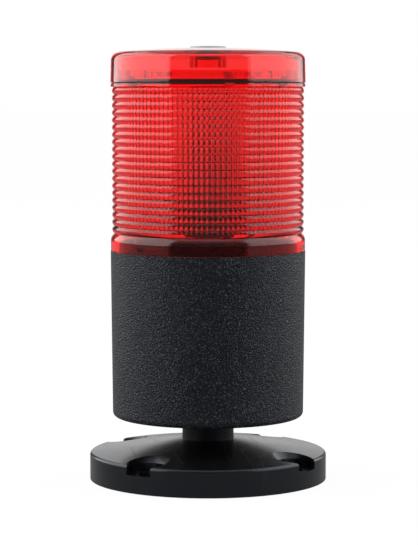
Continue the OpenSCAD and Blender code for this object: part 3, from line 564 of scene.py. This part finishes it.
class SIGNAL_OT_cap(bpy.types.Operator):
    """Gives the cap its clear red plastic and the plug its grey"""

    bl_idname = "signal.cap"
    bl_label = "Cap and plug"

    def execute(self, context):
        settings = context.scene.signal_light
        finish_nodes(clear_plastic("cap clear red", settings.clear.cap, settings.clear), "cap")
        plug = moulded_plastic(
            "plug grey", settings.inner.plug, SMALL_GRAIN, rough=(0.4, 0.5), contrast=1.05
        )
        finish_nodes(plug, "cap_plug")
        return {"FINISHED"}


class SIGNAL_OT_seals(bpy.types.Operator):
    """Gives the seals and the gasket their rubber"""

    bl_idname = "signal.seals"
    bl_label = "Seals"

    def execute(self, context):
        rubber = rubber_skin("seal rubber", context.scene.signal_light.inner.rubber)
        finish_nodes(rubber, "stem_seal", "lens_seal", "cap_gasket")
        return {"FINISHED"}


def solids_of(name):
    """The loose solids of a CAD node in the mesh's order, each as a list of its points."""
    shape = bmesh.new()
    shape.from_mesh(NODES[name].data)
    bmesh.ops.remove_doubles(shape, verts=shape.verts, dist=SAME_POINT)
    met = set()
    solids = []
    for first in shape.verts:
        if first in met:
            continue
        met.add(first)
        waiting = [first]
        points = []
        while waiting:
            vert = waiting.pop()
            points.append(vert.co.copy())
            for edge in vert.link_edges:
                near = edge.other_vert(vert)
                if near not in met:
                    met.add(near)
                    waiting.append(near)
        solids.append(points)
    shape.free()
    return solids


def round_off(shape, geom, affect, offset, segments):
    """Rounds edges or corners."""
    return bmesh.ops.bevel(
        shape, geom=geom, offset=offset, offset_type="OFFSET", affect=affect, segments=segments,
        profile=0.5, material=-1, clamp_overlap=True,
    )


def mesh_object(name, shape, material):
    """Turns a finished bmesh into an object of the scene."""
    mesh = bpy.data.meshes.new(name)
    shape.to_mesh(mesh)
    shape.free()
    mesh.materials.append(material)
    made = bpy.data.objects.new(name, mesh)
    bpy.context.scene.collection.objects.link(made)
    return made


def new_piece(name, shape, material):
    """Turns a finished bmesh into a piece of the part, with its faces outwards."""
    bmesh.ops.recalc_face_normals(shape, faces=shape.faces)
    return mesh_object(name, shape, material)


def add_window(shape, points, rise):
    """A low cushion with rounded corners on the outer face of one chip."""
    middle = sum(points, Vector()) / len(points)
    out = Vector((middle.x, middle.y, 0.0)).normalized()
    across = Vector((-out.y, out.x, 0.0))
    face_r = max(point.dot(out) for point in points)
    half_w = WINDOW_SHARE * max(abs((point - middle).dot(across)) for point in points)
    half_h = WINDOW_SHARE * max(abs(point.z - middle.z) for point in points)
    base = out * (face_r - rise * WINDOW_SINK) + Vector((0.0, 0.0, middle.z))
    corners = [
        shape.verts.new(base + across * half_w * x + Vector((0.0, 0.0, half_h * z)))
        for x, z in ((-1, -1), (1, -1), (1, 1), (-1, 1))
    ]
    shape.faces.new(corners)
    rounded = round_off(shape, corners, "VERTICES", half_w * WINDOW_CORNER, 4)
    floor = rounded["verts"][0].link_faces[0]
    raised = bmesh.ops.extrude_face_region(shape, geom=[floor])["geom"]
    tops = [item for item in raised if isinstance(item, bmesh.types.BMVert)]
    bmesh.ops.translate(shape, vec=out * rise * (1 + WINDOW_SINK), verts=tops)
    lid = next(item for item in raised if isinstance(item, bmesh.types.BMFace))
    round_off(shape, list(lid.edges), "EDGES", rise * WINDOW_EDGE, 2)


def chip_windows(material, rise):
    """The yellow windows of the lamp's chips, one low cushion on each chip."""
    shape = bmesh.new()
    for points in solids_of("lamp_chips"):
        add_window(shape, points, rise)
    windows = new_piece("chip_windows", shape, material)
    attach(windows, "lamp")


def add_coil(shape, points, wire_d):
    """One round-wire coil in the room that a CAD spring takes up."""
    low = Vector([min(point[i] for point in points) for i in range(3)])
    high = Vector([max(point[i] for point in points) for i in range(3)])
    middle = (low + high) / 2
    coil_r = (high.x - low.x - wire_d) / 2
    start = Vector((middle.x + coil_r, middle.y, low.z + wire_d / 2))
    ring = bmesh.ops.create_circle(
        shape, cap_ends=True, segments=WIRE_SIDES, radius=wire_d / 2,
        matrix=Matrix.Translation(start) @ Matrix.Rotation(math.pi / 2, 4, "X"),
    )["verts"]
    end = ring[0].link_faces[0]
    steps = COIL_TURNS * COIL_STEPS
    bmesh.ops.spin(
        shape, geom=[*ring, *end.edges, end], cent=middle, axis=UP, angle=2 * math.pi * COIL_TURNS,
        dvec=(0.0, 0.0, (high.z - low.z - wire_d) / steps), steps=steps, use_merge=False,
    )


def plunger_coils(material, wire_d):
    """Round-wire springs under the contact plungers, in place of the hidden CAD springs."""
    shape = bmesh.new()
    for points in solids_of("plunger_springs"):
        add_coil(shape, points, wire_d)
    coils = new_piece("plunger_coils", shape, material)
    coils.data.polygons.foreach_set("use_smooth", [True] * len(coils.data.polygons))
    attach(coils, "lens_unit")
    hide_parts("plunger_springs")
    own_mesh(coils)


class SIGNAL_OT_lamp(bpy.types.Operator):
    """Finishes the lamp, its holder and socket, and the conductor strips"""

    bl_idname = "signal.lamp"
    bl_label = "Lamp and holder"

    def execute(self, context):
        inner = context.scene.signal_light.inner
        dark = moulded_plastic(
            "holder dark plastic", inner.holder, SMALL_GRAIN, rough=(0.45, 0.55), contrast=1.2
        )
        finish_nodes(dark, "lamp_holder")
        post = moulded_plastic(
            "post black plastic", inner.post, SMALL_GRAIN, rough=(0.45, 0.55), contrast=1.2
        )
        finish_nodes(post, "lamp_post")
        ivory = moulded_plastic(
            "insulator ivory", inner.ivory, SMALL_GRAIN, rough=(0.45, 0.55), contrast=1.05
        )
        finish_nodes(ivory, "socket_insulator")
        chip = moulded_plastic("chip package", inner.chip, CHIP_GRAIN, rough=(0.3, 0.4), contrast=1.05)
        finish_nodes(chip, "lamp_chips")
        phosphor = moulded_plastic(
            "chip phosphor", inner.phosphor, PHOSPHOR_GRAIN, rough=(0.5, 0.6), contrast=1.1
        )
        chip_windows(phosphor, inner.window_rise)
        brass = worked_metal("contact brass", inner.brass, rough=(0.25, 0.45), dull=0.6)
        finish_nodes(brass, "socket_shell", "contact_plungers", "lamp_cap")
        tin_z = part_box("common_strip")[1][2] - inner.tin_length
        browned = worked_metal(
            "strip browned brass", inner.strip, rough=(0.4, 0.5), dull=0.6, tin=inner.tin, tin_z=tin_z
        )
        finish_nodes(browned, "common_strip", "feed_strip")
        wire = worked_metal("spring wire", inner.wire, rough=(0.25, 0.35), dull=0.8)
        finish_nodes(wire, "plunger_springs")
        plunger_coils(wire, inner.wire_d)
        return {"FINISHED"}


class SIGNAL_OT_terminals(bpy.types.Operator):
    """Finishes the terminals, the nuts, the washers and the screws"""

    bl_idname = "signal.terminals"
    bl_label = "Terminals and fasteners"

    def execute(self, context):
        inner = context.scene.signal_light.inner
        finish_nodes(bpy.data.materials["holder dark plastic"], "terminal_carrier", "terminal_block")
        finish_nodes(bpy.data.materials["contact brass"], "terminal_clamps", "contact_blades")
        zinc = worked_metal("zinc plate", inner.zinc, rough=(0.28, 0.42), dull=0.75)
        finish_nodes(
            zinc, "foot_washer", "foot_locknut", "housing_washer", "housing_locknut", "carrier_screws",
            "terminal_screws",
        )
        return {"FINISHED"}


def photo_camera(stage):
    """Camera at the photograph's viewing angle."""
    data = bpy.data.cameras.new("photo camera")
    data.lens = stage.lens
    data.sensor_width = SENSOR_W_MM
    camera = bpy.data.objects.new("photo camera", data)
    bpy.context.scene.collection.objects.link(camera)
    camera.location = (
        -math.sin(stage.turn) * stage.distance, -math.cos(stage.turn) * stage.distance, stage.height
    )
    camera.rotation_euler = (math.pi / 2 - stage.tilt, 0.0, -stage.turn - stage.aim)
    bpy.context.scene.camera = camera


def studio_world(stage):
    """Plain white surround."""
    world = bpy.data.worlds.new("Studio")
    bpy.context.scene.world = world
    world.use_nodes = True
    tree = world.node_tree
    tree.nodes.clear()
    output = tree.nodes.new("ShaderNodeOutputWorld")
    back = tree.nodes.new("ShaderNodeBackground")
    back.inputs["Color"].default_value = (*WHITE, 1.0)
    back.inputs["Strength"].default_value = stage.surround
    tree.links.new(back.outputs["Background"], output.inputs["Surface"])


def stage_object(name, shape, material):
    """Turns a finished bmesh into a piece of the stage."""
    made = mesh_object(name, shape, material)
    return made


def matt_material(name, base):
    """A plain matt material for the stage: (material, tree, shader)."""
    material, tree, matt = new_material(name, "ShaderNodeBsdfDiffuse")
    matt.inputs["Color"].default_value = (*base, 1.0)
    return material, tree, matt


def add_glow(tree, matt, share, level):
    """Puts white light of a level in the place of a share of the matt shader."""
    white = tree.nodes.new("ShaderNodeEmission")
    white.inputs["Color"].default_value = (*WHITE, 1.0)
    feed(tree, level, white.inputs["Strength"])
    mix = tree.nodes.new("ShaderNodeMixShader")
    tree.links.new(share, mix.inputs["Fac"])
    tree.links.new(matt.outputs["BSDF"], mix.inputs[1])
    tree.links.new(white.outputs["Emission"], mix.inputs[2])
    tree.links.new(mix.outputs["Shader"], tree.nodes["Material Output"].inputs["Surface"])


def studio_floor(stage):
    """Round pale floor that turns white to the camera and keeps a soft shadow."""
    material, tree, matt = matt_material("floor pale", stage.floor)
    rays = tree.nodes.new("ShaderNodeLightPath").outputs
    seen, glossy, through = rays["Is Camera Ray"], rays["Is Glossy Ray"], rays["Is Transmission Ray"]
    clear_level = weighted(tree, glossy, stage.floor_glint, through, stage.floor_through)
    level = math_node(tree, "ADD", clear_level, seen)
    share = math_node(
        tree, "MAXIMUM", math_node(tree, "MAXIMUM", glossy, through),
        math_node(tree, "MULTIPLY", seen, stage.floor_white),
    )
    add_glow(tree, matt, share, level)
    shape = bmesh.new()
    bmesh.ops.create_circle(shape, cap_ends=True, segments=FLOOR_STEPS, radius=FLOOR_R)
    stage_object("floor", shape, material)


def round_wall(shape, profile, start, turn, steps):
    """Spins an upright profile of (radius, height) points round the part's axis."""
    way = Vector((math.cos(start), math.sin(start), 0.0))
    points = [shape.verts.new(way * radius + Vector((0.0, 0.0, height))) for radius, height in profile]
    edges = [shape.edges.new(pair) for pair in zip(points, points[1:])]
    bmesh.ops.spin(
        shape, geom=[*points, *edges], cent=(0.0, 0.0, 0.0), axis=UP, angle=turn, steps=steps,
        use_merge=False,
    )


def card_material(name, base, through):
    """A matt card with its own brightness to rays that come through clear plastic."""
    material, tree, matt = matt_material(name, base)
    rays = tree.nodes.new("ShaderNodeLightPath").outputs
    add_glow(tree, matt, rays["Is Transmission Ray"], through)
    return material


def hide_card(card, shades):
    """Hides a card from the camera, and from matt surfaces too where it isn't to shade them."""
    card.visible_camera = False
    card.visible_diffuse = shades
    card.visible_shadow = shades


def front_screen(stage):
    """Curved grey screen round the camera and a dark apron at its foot, so the front reflects no white."""
    reach = math.radians(SCREEN_REACH)
    start = -math.pi / 2 - stage.turn - reach
    wall = ((SCREEN_R, APRON_RISE), (SCREEN_R, SCREEN_H))
    ground = ((APRON_R, APRON_RISE), (SCREEN_R, APRON_RISE))
    for name, profile, base, through, shades in (
        ("front screen", wall, stage.screen, stage.screen_through, True),
        ("front apron", ground, stage.apron, stage.apron_through, False),
    ):
        shape = bmesh.new()
        round_wall(shape, profile, start, 2 * reach, SCREEN_STEPS)
        hide_card(stage_object(name, shape, card_material(name, base, through)), shades)


def dark_flags(stage):
    """Two upright dark flags beside the background, which draw the dark edges of clear plastic."""
    near, far = (math.radians(edge) for edge in FLAG_EDGES)
    behind = math.pi / 2 - stage.turn
    shape = bmesh.new()
    for start in (behind + near, behind - far):
        round_wall(shape, ((FLAG_R, 0.0), (FLAG_R, FLAG_H)), start, far - near, FLAG_STEPS)
    material = matt_material("flag dark", stage.flag)[0]
    hide_card(stage_object("dark flags", shape, material), False)


def side_light(name, turn, level, width, low):
    """Upright soft light beside the part; turn is its angle from the part's front."""
    data = bpy.data.lights.new(name, "AREA")
    data.shape = "RECTANGLE"
    data.size = width
    data.size_y = LIGHT_H
    data.energy = level * math.pi * width * LIGHT_H
    light = bpy.data.objects.new(name, data)
    bpy.context.scene.collection.objects.link(light)
    side = Vector((math.sin(turn), -math.cos(turn), 0.0))
    light.location = side * LIGHT_R + Vector((0.0, 0.0, low + LIGHT_H / 2))
    light.rotation_euler = (-side).to_track_quat("-Z", "Y").to_euler()
    light.visible_camera = False
    light.visible_transmission = False


class SIGNAL_OT_stage(bpy.types.Operator):
    """Sets up the camera, the floor, the cards and the soft lights"""

    bl_idname = "signal.stage"
    bl_label = "Stage"

    def execute(self, context):
        stage = context.scene.signal_light.stage
        photo_camera(stage)
        studio_world(stage)
        studio_floor(stage)
        front_screen(stage)
        dark_flags(stage)
        for name, turn, level, width in (
            ("left light", LEFT_TURN, stage.left_level, LEFT_W),
            ("right light", RIGHT_TURN, stage.right_level, RIGHT_W),
        ):
            side_light(name, math.radians(turn) - stage.turn, level, width, stage.light_foot)
        context.scene.view_settings.view_transform = "Standard"
        cycles = context.scene.cycles
        cycles.max_bounces = LIGHT_STEPS
        cycles.glossy_bounces = LIGHT_STEPS
        cycles.transmission_bounces = LIGHT_STEPS
        return {"FINISHED"}


class SIGNAL_PT_panel(bpy.types.Panel):
    """Settings and steps of the signal light"""

    bl_label = "Signal light"
    bl_idname = "SIGNAL_PT_panel"
    bl_space_type = "VIEW_3D"
    bl_region_type = "UI"
    bl_category = "Signal light"

    def draw(self, context):
        settings = context.scene.signal_light
        for title, group in (
            ("Black plastic", settings.black), ("Clear red", settings.clear), ("Inside", settings.inner),
            ("Stage", settings.stage),
        ):
            box = self.layout.box()
            box.label(text=title)
            for name in group.__annotations__:
                box.prop(group, name)
        for step in STEPS:
            self.layout.operator(step.bl_idname)


STEPS = (
    SIGNAL_OT_stage, SIGNAL_OT_foot, SIGNAL_OT_housing, SIGNAL_OT_lens, SIGNAL_OT_cap, SIGNAL_OT_seals,
    SIGNAL_OT_lamp, SIGNAL_OT_terminals,
)
CLASSES = (BlackPlastic, ClearRed, InnerParts, StudioStage, SignalLight, *STEPS, SIGNAL_PT_panel)


def register():
    """Registers the settings, the steps and the panel."""
    for cls in CLASSES:
        bpy.utils.register_class(cls)
    bpy.types.Scene.signal_light = PointerProperty(type=SignalLight)


def unregister():
    """Takes them out again, in reverse."""
    del bpy.types.Scene.signal_light
    for cls in reversed(CLASSES):
        bpy.utils.unregister_class(cls)


def clear_start_scene():
    """Takes out the start file's cube, light and camera."""
    for name in ("Cube", "Light", "Camera"):
        found = bpy.data.objects.get(name)
        if found:
            bpy.data.objects.remove(found)


def main():
    """Builds the stage and finishes each group of pieces."""
    register()
    clear_start_scene()
    bpy.ops.signal.stage()
    bpy.ops.signal.foot()
    bpy.ops.signal.housing()
    bpy.ops.signal.lens()
    bpy.ops.signal.cap()
    bpy.ops.signal.seals()
    bpy.ops.signal.lamp()
    bpy.ops.signal.terminals()


if __name__ == "__main__":
    main()
